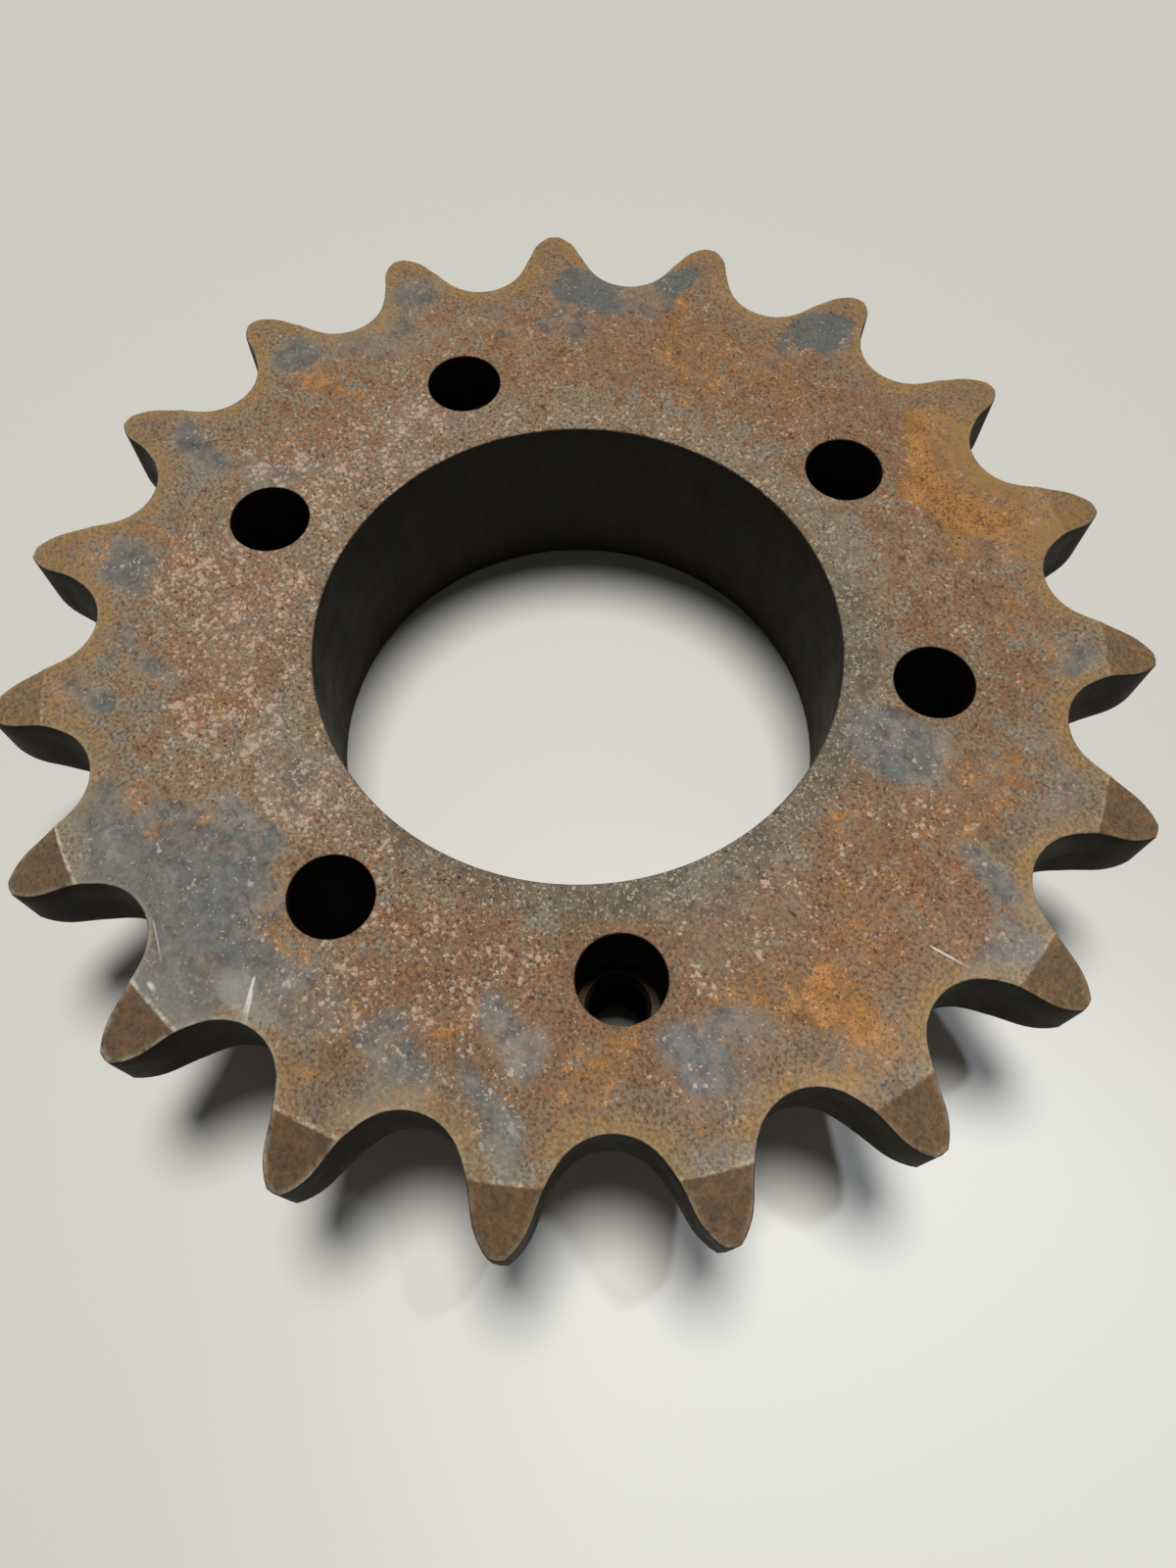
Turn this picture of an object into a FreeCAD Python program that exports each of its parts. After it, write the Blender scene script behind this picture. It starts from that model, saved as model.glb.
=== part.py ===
import FreeCAD, Part
import math
import os

# Single-strand roller chain sprocket whose hub takes a split taper bushing held by
# three cap screws. Sizes are in millimetres. The axis of rotation is Z, Z = 0 is the
# free end face of the hub, and the toothed plate is on top, so the sprocket stands on
# its hub. One tooth and one tapped hole lie on +Y.

# Chain and teeth.
chain_pitch = 31.75
roller_diameter = 19.05
tooth_count = 19
plate_thickness = 17.57          # width of the teeth, just under the gap between the chain's inner links
bevel_depth = 3.2                # how far a tooth's side is turned down at its tip
bevel_height = 10.5              # how far down from the tip the bevel starts, radially

# Taper bore for the bushing. It is widest at the free end of the hub.
length_through_bore = 41.275
bore_large_diameter = 97.38
bore_taper = 1 / 16              # change of diameter for each unit of length
bore_edge_break = 0.4

# Hub and its weld.
hub_diameter = 152.4
hub_end_chamfer = 1.6
weld_groove = 4.8                # 45 degree groove on the hub's corner, filled by the weld
weld_toe_on_plate = 2.5          # how far the bead runs out past the hub
weld_toe_on_hub = 1.4            # how far the bead runs down past the groove
weld_bulge = 0.9

# Screw holes: three clearance holes and three tapped holes on one circle.
screw_circle_diameter = 127.0
screws_in_a_set = 3
clearance_hole_diameter = 14.3
tapped_hole_diameter = 10.7      # minor diameter of the thread
clearance_set_angle = -45.0      # degrees from the tapped set to the clearance set
counterbore_diameter = 14.7      # wide part of a tapped hole, from the toothed face down
counterbore_past_plate = 2.4     # how far the wide part goes on into the hub
hole_edge_break = 0.3

# Places worked out from the sizes above.
hub_top = length_through_bore - plate_thickness
plate_top = length_through_bore
hub_radius = hub_diameter / 2
pitch_radius = chain_pitch / (2 * math.sin(math.pi / tooth_count))
outside_radius = chain_pitch * (0.6 + 1 / math.tan(math.pi / tooth_count)) / 2
past_face = 5.0                  # how far a cutting tool runs past a face


def at(radius, z):
    """A point of a turned profile, in the XZ plane."""
    return FreeCAD.Vector(radius, 0, z)


def turned(edges):
    """The solid that a closed profile in the XZ plane sweeps around the axis."""
    profile = Part.Face(Part.Wire(Part.__sortEdges__(edges)))
    return profile.revolve(FreeCAD.Vector(0, 0, 0), FreeCAD.Vector(0, 0, 1), 360)


def polygon_edges(points):
    """The straight edges of a closed polygon."""
    return [Part.makeLine(a, b) for a, b in zip(points, points[1:] + points[:1])]


def bore_radius(z):
    """Radius of the taper bore at height z."""
    return (bore_large_diameter - bore_taper * z) / 2


def gap_cutter():
    """Prism that cuts the gap between two teeth, on the +Y side of the axis.

    The outline is the standard one for a roller chain: a seat a little larger than the
    roller, a working curve on each side, a short straight flank, and a topping curve
    that rolls away over the tip. It is drawn about the centre of the roller.
    """
    seat = 1.005 * roller_diameter / 2 + 0.038
    seat_angle = math.radians(35 + 60 / tooth_count)
    working_angle = math.radians(18 - 56 / tooth_count)
    flank_angle = seat_angle - working_angle
    working = 1.3025 * roller_diameter + 0.038
    topping = 0.6 * roller_diameter
    flank_length = roller_diameter * (
        1.4 * math.sin(math.radians(17 - 64 / tooth_count)) - 0.8 * math.sin(working_angle))

    def on_circle(centre, radius, angle):
        return centre + FreeCAD.Vector(radius * math.cos(angle), radius * math.sin(angle), 0)

    roller = FreeCAD.Vector(0, 0, 0)
    working_centre = on_circle(roller, -0.8 * roller_diameter, -seat_angle)
    seat_end = on_circle(roller, seat, -seat_angle)
    working_middle = on_circle(working_centre, working, -seat_angle + working_angle / 2)
    working_end = on_circle(working_centre, working, -flank_angle)
    flank_end = working_end + FreeCAD.Vector(
        flank_length * math.sin(flank_angle), flank_length * math.cos(flank_angle), 0)
    topping_centre = on_circle(flank_end, topping, -flank_angle)
    topping_start_angle = math.pi - flank_angle
    topping_middle = on_circle(topping_centre, topping, (topping_start_angle + math.pi / 2) / 2)
    topping_end = on_circle(topping_centre, topping, math.pi / 2)
    beyond_tip = FreeCAD.Vector(topping_end.x, outside_radius - pitch_radius + past_face, 0)

    def mirrored(point):
        return FreeCAD.Vector(-point.x, point.y, 0)

    edges = [Part.Arc(mirrored(seat_end), on_circle(roller, seat, -math.pi / 2), seat_end).toShape(),
             Part.makeLine(mirrored(beyond_tip), beyond_tip)]
    for side in (lambda point: point, mirrored):
        edges += [Part.Arc(side(seat_end), side(working_middle), side(working_end)).toShape(),
                  Part.makeLine(side(working_end), side(flank_end)),
                  Part.Arc(side(flank_end), side(topping_middle), side(topping_end)).toShape(),
                  Part.makeLine(side(topping_end), side(beyond_tip))]
    outline = Part.Face(Part.Wire(Part.__sortEdges__(edges)))
    outline.translate(FreeCAD.Vector(0, pitch_radius, hub_top - past_face))
    return outline.extrude(FreeCAD.Vector(0, 0, plate_thickness + 2 * past_face))


def around_axis(shape, first_angle, count):
    """Copies of a shape, evenly spaced around the axis from first_angle in degrees."""
    copies = []
    for index in range(count):
        copy = shape.copy()
        copy.rotate(FreeCAD.Vector(0, 0, 0), FreeCAD.Vector(0, 0, 1), first_angle + index * 360 / count)
        copies.append(copy)
    return copies


def screw_hole(diameter, bottom, top):
    """Round tool for one screw hole, standing on the +Y axis."""
    centre = FreeCAD.Vector(0, screw_circle_diameter / 2, bottom)
    return Part.makeCylinder(diameter / 2, top - bottom, centre)


def edge_break(diameter, face_z, outward):
    """Cone that breaks the edge of a screw hole where it meets a face; outward is 1 for up, -1 for down."""
    base = FreeCAD.Vector(0, screw_circle_diameter / 2, face_z - outward * hole_edge_break)
    small = diameter / 2
    return Part.makeCone(small, small + 2 * hole_edge_break, 2 * hole_edge_break,
                         base, FreeCAD.Vector(0, 0, outward))


def toothed_plate():
    """Plate turned to a bevelled disc, then cut into teeth, bored and drilled."""
    blank = turned(polygon_edges([
        at(bore_radius(hub_top), hub_top),
        at(outside_radius - bevel_height, hub_top),
        at(outside_radius, hub_top + bevel_depth),
        at(outside_radius, plate_top - bevel_depth),
        at(outside_radius - bevel_height, plate_top),
        at(bore_radius(plate_top) + bore_edge_break, plate_top),
        at(bore_radius(plate_top - bore_edge_break), plate_top - bore_edge_break)]))
    tools = around_axis(gap_cutter(), 180 / tooth_count, tooth_count)
    for diameter, first_angle in ((counterbore_diameter, 0),
                                  (clearance_hole_diameter, clearance_set_angle)):
        hole = screw_hole(diameter, hub_top - past_face, plate_top + past_face)
        hole = hole.fuse(edge_break(diameter, plate_top, 1))
        tools += around_axis(hole, first_angle, screws_in_a_set)
    return blank.cut(tools)


def hub():
    """Turned hub with the wide end of the taper bore, drilled and tapped for the screws."""
    blank = turned(polygon_edges([
        at(bore_radius(0) + bore_edge_break, 0),
        at(hub_radius - hub_end_chamfer, 0),
        at(hub_radius, hub_end_chamfer),
        at(hub_radius, hub_top - weld_groove),
        at(hub_radius - weld_groove, hub_top),
        at(bore_radius(hub_top), hub_top),
        at(bore_radius(bore_edge_break), bore_edge_break)]))
    clearance = screw_hole(clearance_hole_diameter, -past_face, hub_top + past_face)
    clearance = clearance.fuse(edge_break(clearance_hole_diameter, 0, -1))
    tapped = screw_hole(tapped_hole_diameter, -past_face, hub_top + past_face)
    counterbore = screw_hole(counterbore_diameter, hub_top - counterbore_past_plate, hub_top + past_face)
    tapped = tapped.fuse([counterbore, edge_break(tapped_hole_diameter, 0, -1)])
    tools = around_axis(tapped, 0, screws_in_a_set)
    tools += around_axis(clearance, clearance_set_angle, screws_in_a_set)
    return blank.cut(tools)


def hub_weld():
    """Bead that fills the groove on the hub's corner and joins the hub to the plate."""
    root = at(hub_radius - weld_groove, hub_top)
    plate_toe = at(hub_radius + weld_toe_on_plate, hub_top)
    groove_end = at(hub_radius, hub_top - weld_groove)
    hub_toe = at(hub_radius, hub_top - weld_groove - weld_toe_on_hub)
    chord = hub_toe - plate_toe
    outward = FreeCAD.Vector(-chord.z, 0, chord.x).normalize()
    crown = plate_toe + chord * 0.5 + outward * weld_bulge
    return turned([
        Part.makeLine(root, plate_toe),
        Part.Arc(plate_toe, crown, hub_toe).toShape(),
        Part.makeLine(hub_toe, groove_end),
        Part.makeLine(groove_end, root)])


os.makedirs("parts", exist_ok=True)
for name, shape in {"toothed_plate": toothed_plate(),
                    "hub": hub(),
                    "hub_weld": hub_weld()}.items():
    shape = shape.removeSplitter()
    print(name, "valid" if shape.isValid() else "NOT VALID", len(shape.Solids), "solid",
          round(shape.Volume / 1000, 1), "cm3", shape.BoundBox)
    shape.exportStep("parts/" + name + ".step")
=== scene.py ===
import bmesh
import bpy
import numpy as np
from mathutils import Matrix, Vector


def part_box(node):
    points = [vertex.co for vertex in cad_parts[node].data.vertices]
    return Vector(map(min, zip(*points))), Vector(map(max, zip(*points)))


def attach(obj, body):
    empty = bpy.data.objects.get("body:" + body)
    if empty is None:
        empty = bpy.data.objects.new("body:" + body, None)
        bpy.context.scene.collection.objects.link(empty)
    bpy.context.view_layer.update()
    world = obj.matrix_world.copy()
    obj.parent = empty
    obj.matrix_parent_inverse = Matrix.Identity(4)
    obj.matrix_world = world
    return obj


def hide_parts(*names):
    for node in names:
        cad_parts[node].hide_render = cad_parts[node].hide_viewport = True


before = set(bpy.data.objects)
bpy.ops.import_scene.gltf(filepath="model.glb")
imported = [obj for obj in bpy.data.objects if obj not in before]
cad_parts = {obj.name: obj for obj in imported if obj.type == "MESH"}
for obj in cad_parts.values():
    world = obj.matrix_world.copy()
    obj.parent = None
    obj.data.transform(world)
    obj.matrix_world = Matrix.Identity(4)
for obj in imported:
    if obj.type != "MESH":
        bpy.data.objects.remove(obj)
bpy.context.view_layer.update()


# ------------------------------------------------------------------ Toothed plate
# A thick steel plate, turned with a bevel at both sides of its rim, hobbed with nineteen
# teeth, flame hardened along them, bored to a taper and drilled for six screws. It has
# lain about since, and its flat face has rusted in patches.

# Sizes in millimetres. The places and the heights come from the frame.
plate_bottom, plate_top = (corner.z * 1000 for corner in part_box("toothed_plate"))
tooth_count = 19
chain_pitch = 31.75
roller_diameter = 19.05
pitch_radius = chain_pitch / (2 * np.sin(np.pi / tooth_count))
outside_radius = chain_pitch * (0.6 + 1 / np.tan(np.pi / tooth_count)) / 2
bevel_depth, bevel_height = 3.2, 10.5   # how far the tips are turned down, and from how far in
bevel_start = outside_radius - bevel_height
tooth_edge = 0.35                  # how far the sharp edge of a tooth has been rounded off
bore_large_radius = 97.38 / 2
bore_taper = 1 / 32                # change of radius for each unit of height
bore_edge = 0.4
screw_circle = 127.0 / 2
tapped_angles = np.radians([90, 210, 330])
clearance_angles = np.radians([45, 165, 285])
counterbore_radius = 14.7 / 2
clearance_radius = 14.3 / 2
columns_per_tooth = 40


def turn(angle):
    """Unit vector at an angle, as a complex number x + iy."""
    return np.exp(1j * np.asarray(angle))


def smooth(low, high, value):
    """Soft step from 0 at low to 1 at high: 3t squared less 2t cubed."""
    t = np.clip((value - low) / (high - low), 0, 1)
    return t * t * (3 - 2 * t)


def tooth_outline():
    """Closed outline of the teeth, anticlockwise, from the bottom of the gap after +Y.

    Half a gap is an arc a little larger than the roller, then a working arc on a centre
    0.8 of a roller back through it, then a short straight flank, then a topping arc of
    0.6 of a roller, cut off by the outside circle. The half is mirrored about the middle
    of the tooth and turned round the axis. The corners are rounded by a running mean,
    and the result is divided into equal steps along its length.
    """
    seat_angle = np.radians(35 + 60 / tooth_count)
    working_angle = np.radians(18 - 56 / tooth_count)
    flank_angle = seat_angle - working_angle
    flank = roller_diameter * (1.4 * np.sin(np.radians(17 - 64 / tooth_count))
                               - 0.8 * np.sin(working_angle))
    seat = (1.005 * roller_diameter / 2 + 0.038) * turn(np.linspace(-np.pi / 2, -seat_angle, 80))
    working = (-0.8 * roller_diameter * turn(-seat_angle)
               + (1.3025 * roller_diameter + 0.038) * turn(np.linspace(-seat_angle, -flank_angle, 60)))
    flank_end = working[-1] + flank * 1j * turn(-flank_angle)
    topping = (flank_end + 0.6 * roller_diameter * turn(-flank_angle)
               + 0.6 * roller_diameter * turn(np.linspace(np.pi - flank_angle, np.pi / 2, 120)))
    half = np.concatenate([seat, working[1:], topping]) + 1j * pitch_radius
    half = half[np.abs(half) < outside_radius]
    tip = outside_radius * turn(np.linspace(np.angle(half[-1]), np.pi / 2 - np.pi / tooth_count, 12))
    half = -np.conj(np.concatenate([half, tip]))
    middle = turn(2 * (np.pi / 2 + np.pi / tooth_count))
    tooth = np.concatenate([half, (middle * np.conj(half))[-2:0:-1]])
    turns = np.pi / tooth_count * (2 * np.arange(tooth_count)[:, None] + 1)
    outline = (tooth[None] * turn(turns)).ravel()

    def equal_steps(path, count):
        closed = np.append(path, path[0])
        along = np.append(0, np.cumsum(np.abs(np.diff(closed))))
        places = np.linspace(0, along[-1], count, endpoint=False)
        return np.interp(places, along, closed.real) + 1j * np.interp(places, along, closed.imag)

    dense = equal_steps(outline, tooth_count * 400)
    weights = np.hanning(13) / np.hanning(13).sum()
    rounded = sum(weight * np.roll(dense, shift) for weight, shift in zip(weights, range(-6, 7)))
    return equal_steps(rounded, tooth_count * columns_per_tooth)


def bevelled(points):
    """How far the side of a tooth is turned down: a slope that begins softly at its circle."""
    past = np.abs(points) - bevel_start
    return bevel_depth / bevel_height * (past + np.sqrt(past ** 2 + 0.05 ** 2)) / 2


def bore_radius(z):
    """Radius of the taper bore, largest at z = 0."""
    return bore_large_radius - bore_taper * z


def raised(points, heights):
    """Complex points x + iy and their heights, as an array of x, y, z."""
    return np.stack([points.real, points.imag, np.broadcast_to(heights, points.shape)], -1)


def holed_ring(circles, rays, z, holes, reach):
    """Flat ring with round holes in it: a list of sheets, and the points around each hole.

    The ring is a grid of circles and rays. A window of the grid is left out around each
    hole, at least reach from its centre, and is filled with rings that blend from the
    window's edge to the hole's circle.
    A sheet is (points and their height, joined to itself, windows left out).
    """
    grid = circles[:, None] * turn(rays)
    windows, patches, rims = [], [], []
    for centre, radius in holes:
        row_from = np.searchsorted(circles, np.abs(centre) - reach) - 1
        row_to = np.searchsorted(circles, np.abs(centre) + reach)
        aside = np.angle(grid[row_from] / centre) * np.abs(centre)
        middle = np.argmin(np.abs(aside))
        span = int(np.ceil(reach / np.abs(aside[(middle + 1) % len(aside)] - aside[middle])))
        across = np.arange(middle - span, middle + span + 1) % grid.shape[1]
        rows = np.arange(row_from, row_to + 1)
        edge = np.concatenate([grid[row_from, across], grid[rows, across[-1]][1:],
                               grid[row_to, across[::-1]][1:], grid[rows[::-1], across[0]][1:-1]])
        rim = centre + radius * turn(np.angle(edge - centre))
        blend = np.linspace(0, 1, 7)[:, None] ** 1.3
        patches.append((rim + (edge - rim) * blend, True, []))
        patches[-1][0][-1] = edge
        windows.append((row_from, row_to, middle - span, middle + span))
        rims.append(rim)
    sheets = [(grid, True, windows)] + patches
    return [(raised(sheet, z), joined, left_out) for sheet, joined, left_out in sheets], rims


def hole_wall(rim, centre, radii, heights):
    """Wall of a round hole: a radius and a height for each row, in the rim's own directions."""
    ring = centre + np.asarray(radii)[:, None] * turn(np.angle(rim - centre))
    ring[0] = rim
    return raised(ring, np.asarray(heights)[:, None])


def with_values(sheet, **values):
    """A sheet together with its surface values, one for each row or point."""
    points, joined, left_out = sheet
    shape = points.shape[:2]
    spread = {name: np.broadcast_to(value[:, None] if np.ndim(value) == 1 else value, shape)
              for name, value in values.items()}
    return points, joined, left_out, spread


def closed_piece(name, sheets, names, sharp):
    """One closed mesh from sheets in millimetres.

    Each sheet's neighbouring rows and columns make its faces. Points that two sheets share
    are merged, and the faces are turned outwards.
    """
    points, faces, start = [], [], 0
    for grid, joined, left_out, _ in sheets:
        rows, columns = grid.shape[:2]
        index = start + np.arange(rows * columns).reshape(rows, columns)
        keep = np.ones((rows - 1, columns if joined else columns - 1), bool)
        for row_from, row_to, from_column, to_column in left_out:
            keep[row_from:row_to, np.arange(from_column, to_column) % columns] = False
        ahead = np.roll(index, -1, 1) if joined else index[:, 1:]
        here = index if joined else index[:, :-1]
        quads = np.stack([here[:-1], ahead[:-1], ahead[1:], here[1:]], -1)
        faces.append(quads[keep])
        points.append(grid.reshape(-1, 3))
        start += rows * columns
    points, faces = np.concatenate(points), np.concatenate(faces)
    merged, place = np.unique(np.round(points, 5), axis=0, return_inverse=True)
    faces = place.reshape(-1)[faces]
    mesh = bpy.data.meshes.new(name)
    mesh.from_pydata(merged / 1000, [], faces)
    for channel in names:
        spread = np.zeros(len(merged))
        given = [sheet[3].get(channel, np.zeros(sheet[0].shape[:2])).reshape(-1) for sheet in sheets]
        np.maximum.at(spread, place.reshape(-1), np.concatenate(given))
        layer = mesh.attributes.new(channel, "FLOAT", "POINT")
        layer.data.foreach_set("value", spread.astype(np.float32))
    shell = bmesh.new()
    shell.from_mesh(mesh)
    bmesh.ops.delete(shell, geom=[v for v in shell.verts if not v.link_faces], context="VERTS")
    bmesh.ops.dissolve_degenerate(shell, dist=1e-8, edges=shell.edges)
    bmesh.ops.recalc_face_normals(shell, faces=shell.faces)
    shell.to_mesh(mesh)
    shell.free()
    mesh.shade_smooth()
    mesh.set_sharp_from_angle(angle=np.radians(sharp))
    piece = bpy.data.objects.new(name, mesh)
    bpy.context.scene.collection.objects.link(piece)
    return piece


outline = tooth_outline()
along = np.roll(outline, -1) - np.roll(outline, 1)
outward = -1j * along / np.abs(along)
column_count = len(outline)
even_rays = np.pi / 2 + np.pi / tooth_count + np.arange(column_count) * 2 * np.pi / column_count
edge_wear = tooth_edge * (1 + 0.3 * np.sin(7 * even_rays + 1) * np.sin(23 * even_rays))
inset = outline - edge_wear * outward

# The face inside the teeth, where even rays turn into rays that follow the outline.
even_from, face_edge = 52.0, 84.0  # between these circles the grid's circles are evenly spaced
top_inner = bore_radius(plate_top) + bore_edge
bottom_inner = bore_radius(plate_bottom)
own_rays = even_rays + np.angle(inset / turn(even_rays))


def face_circles(inner):
    """Radii of the face's circles: three wide steps from the bore's edge, then even ones."""
    return np.append(np.linspace(inner, even_from, 4)[:-1], np.linspace(even_from, face_edge, 23))


def face_rays(circles):
    """Angles of the rays at each circle: even ones, bent towards the outline's own from 74 mm out."""
    bend = smooth(74, face_edge, circles)[:, None]
    return even_rays + (own_rays - even_rays) * bend


# From the face's edge to the outline, closer together at the bevel's crease.
reach = np.abs(inset) - face_edge
crease = np.minimum((bevel_start - face_edge) / reach, 1 - 0.12 / reach)
before = np.array([0, .12, .25, .38, .5, .62, .74, .84, .91, .96, .985, 1])[:, None]
after = np.array([.012, .05, .12, .22, .34, .48, .62, .76, .88, .96, 1])[:, None]
steps = np.concatenate([before * crease, crease + (1 - crease) * after])
rim_start = face_edge * turn(face_rays(np.array([face_edge]))[0])
rim = rim_start + (inset - rim_start) * steps
rim[-1] = inset
rim_top = plate_top - bevelled(rim)
rim_bottom = plate_bottom + bevelled(rim)
rim_top[0], rim_bottom[0] = plate_top, plate_bottom

# Down the wall of the teeth, with a rounded edge at each side.
quarter = np.radians([15, 32, 50, 70, 90])[:, None]
out = edge_wear * np.sin(quarter)
drop = edge_wear * (1 - np.cos(quarter))
levels = np.linspace(0, 1, 7)[1:-1][:, None]
wall = np.concatenate([inset + out * outward,
                       np.repeat(outline[None], len(levels), 0),
                       (inset + out * outward)[::-1]])
upper, lower = rim_top[-1] - drop, rim_bottom[-1] + drop
wall_z = np.concatenate([upper, upper[-1] + (lower[-1] - upper[-1]) * levels, lower[::-1]])

teeth = np.concatenate([rim, wall, rim[::-1]])
teeth_z = np.concatenate([rim_top, wall_z, rim_bottom[::-1]])
walled = np.concatenate([np.zeros(len(rim)), np.sin(quarter[:, 0]) ** 3, np.ones(len(levels)),
                         np.sin(quarter[::-1, 0]) ** 3, np.zeros(len(rim))])


# Inside this circle the distance from the outline no longer matters, and is a round number.
inner_circle, far_in = 68, 20.0


def from_outline(points):
    """Distance of each point from the nearest point of the outline, row by row."""
    return np.stack([np.abs(row[:, None] - outline[None]).min(1) if np.abs(row).max() > inner_circle
                     else np.full(row.shape, far_in) for row in points])


rim_distance = from_outline(rim)
plate_sheets = [with_values(
    (raised(teeth, teeth_z), True, []), cut=walled,
    from_edge=np.concatenate([rim_distance, np.zeros(wall.shape), rim_distance[::-1]]))]
holes = ([(screw_circle * turn(angle), counterbore_radius) for angle in tapped_angles]
         + [(screw_circle * turn(angle), clearance_radius) for angle in clearance_angles])
hole_edge = 0.3
hole_rims = {}
hole_window = 9.8                  # how far round a hole's centre its rings of points reach
for z, inner, opened in ((plate_top, top_inner, hole_edge), (plate_bottom, bottom_inner, 0)):
    circles = face_circles(inner)
    sheets, hole_rims[z] = holed_ring(circles, face_rays(circles), z,
                                      [(centre, radius + opened) for centre, radius in holes],
                                      hole_window)
    for sheet in sheets:
        flat = sheet[0][..., 0] + 1j * sheet[0][..., 1]
        plate_sheets.append(with_values(sheet, from_edge=from_outline(flat)))

eased = np.radians([0, 22, 45, 67, 90])
depths = np.linspace(plate_top - hole_edge, plate_bottom, 6)[1:]
for (centre, radius), rim_above in zip(holes, hole_rims[plate_top]):
    radii = np.append(radius + hole_edge * (1 - np.sin(eased)), np.full(len(depths), radius))
    heights = np.append(plate_top - hole_edge * (1 - np.cos(eased)), depths)
    sheet = hole_wall(rim_above, centre, radii, heights)
    plate_sheets.append(with_values((sheet, True, []), from_edge=far_in,
                                    cut=np.append(eased / eased[-1], np.ones(len(depths)))))

bore_heights = np.append(plate_top - bore_edge * (1 - np.cos(eased)),
                         np.linspace(plate_top - bore_edge, plate_bottom, 7)[1:])
bore_radii = np.append(bore_radius(plate_top - bore_edge) + bore_edge * (1 - np.sin(eased)),
                       bore_radius(bore_heights[len(eased):]))
bore_radii[0] = top_inner
bore_wall = bore_radii[:, None] * turn(even_rays)
plate_sheets.append(with_values((raised(bore_wall, bore_heights[:, None]), True, []), from_edge=far_in,
                                cut=np.append((eased / eased[-1]) ** 2, np.ones(6))))

toothed_plate = closed_piece("plate_with_teeth", plate_sheets, ["cut", "from_edge"], 38)

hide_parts("toothed_plate")
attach(toothed_plate, "root")


# Where the face is stained: places and half sizes in millimetres, turn in degrees, strength.
orange_blooms = [
    (81, -8, 9, 6, -10, 1.1), (73, -15, 10, 6, 20, .7), (74, 6, 11, 12, 10, .5),
    (70, 22, 14, 8, -10, .45), (64, 38, 10, 8, -30, .7), (56, 15, 7, 6, 0, .7),
    (20, 79, 16, 8, -5, 1.7), (5, 85, 10, 9, 0, 1.5), (33, 86, 7, 10, -20, 1.45), (0, 94, 4, 8, 0, .8),
    (32, 96, 3, 6, -18, .8), (47, 68, 9, 6, -20, .7), (60, 58, 9, 5, -30, .7),
    (-40, 59, 15, 8, -25, .75), (-24, 68, 12, 6, -15, .6), (-12, 82, 12, 7, 0, .5),
    (-36, 90, 3, 6, 10, .5), (-60, -49, 11, 5, 5, .9), (-78, -6, 6, 7, 10, .9), (-70, -18, 5, 5, 0, .5),
    (-38, -45, 12, 8, -30, .5), (-27, -62, 8, 5, 0, .7), (-9, -76, 3.4, 2.6, 0, 1.3),
    (13, -84, 3.4, 2.6, 0, 1.2), (0, -73, 4, 2.5, 20, 1.0), (16, -71, 5, 3, 30, .9),
    (-20, -76, 3, 5, 0, .9), (48, -56, 3, 7, -15, .7), (65, -44, 6, 9, 10, .8), (78, -36, 5, 3, 0, .5),
    (45, -81, 8, 3, 20, .85), (36, -66, 8, 6, 0, .5), (66, -70, 5, 3, 40, .4), (44, -28, 4, 4, 0, .6),
    (-37, -34, 6, 1.5, -25, .9), (84, 6, 6, 10, 0, .35), (-48, 42, 12, 6, -40, .4),
    (-45, -82, 6, 7, 0, .8), (-71, -66, 6, 6, 40, .75), (-92, -44, 5, 4, 20, .6),
    (82, 50, 6, 5, 0, .35), (-96, 0, 5, 4, 0, .6), (-92, 36, 5, 4, -20, .5)]
bare_patches = [
    (4, -80, 17, 11, 0, 1.25), (-14, -84, 8, 9, 0, 1.25), (18, -75, 9, 6, -20, 1.1),
    (-3, -67, 10, 5, 10, 1.05), (14, -90, 8, 6, 0, 1.2), (52, -50, 5, 6, 10, 1.0),
    (62, -61, 9, 4, 5, .9), (44, -68, 8, 6, -30, .9), (33, -74, 6, 5, 0, .7), (73, -27, 6, 8, 0, .95),
    (84, -38, 4, 6, -20, .5), (-62, -60, 9, 4.5, -5, 1.1), (-78, -34, 9, 5, -10, 1.1),
    (-62, -28, 8, 7, 0, .7), (-86, -8, 6, 6, 0, 1.1), (-40, -77, 6, 3.5, 10, 1.05),
    (-43, -65, 6, 4, 10, .95), (-84, 8, 5, 7, 0, .8), (-86, 22, 5, 8, 0, .85), (-77, 14, 5, 7, 0, .6),
    (-69, 50, 9, 5, 25, 1.1), (-62, 44, 9, 6, 30, .7), (-57, 68, 4.5, 9, -15, 1.3),
    (-60, 55, 6, 6, 0, 1.0), (-30, 85, 7, 6, -10, 1.2), (-31, 76, 5, 7, 0, .8), (-45, 76, 6, 5, 0, .4),
    (54, 69, 5, 6, -10, 1.1), (26, 88, 4, 3, 0, .5), (51, 31, 9, 8, 0, 1.1), (62, 42, 7, 3, -20, .5),
    (77, 29, 9, 4, -15, .9), (86, 18, 4, 7, 10, .9), (68, 50, 6, 4, 0, .6), (76, 44, 3, 8, 15, .7),
    (86, -12, 3, 4, 0, .5), (-55, 20, 6, 5, 0, .3), (-70, 32, 7, 6, 0, .5), (-60, 4, 10, 6, -10, .4),
    (30, 70, 6, 6, 0, .5), (22, 60, 10, 8, 0, .45), (10, 52, 16, 4, 0, .5), (88, 0, 4, 8, 0, .3),
    (-33, -52, 6, 5, 0, .35), (-8, -54, 8, 6, 0, .6), (56, -10, 6, 12, 0, .5)]
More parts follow.
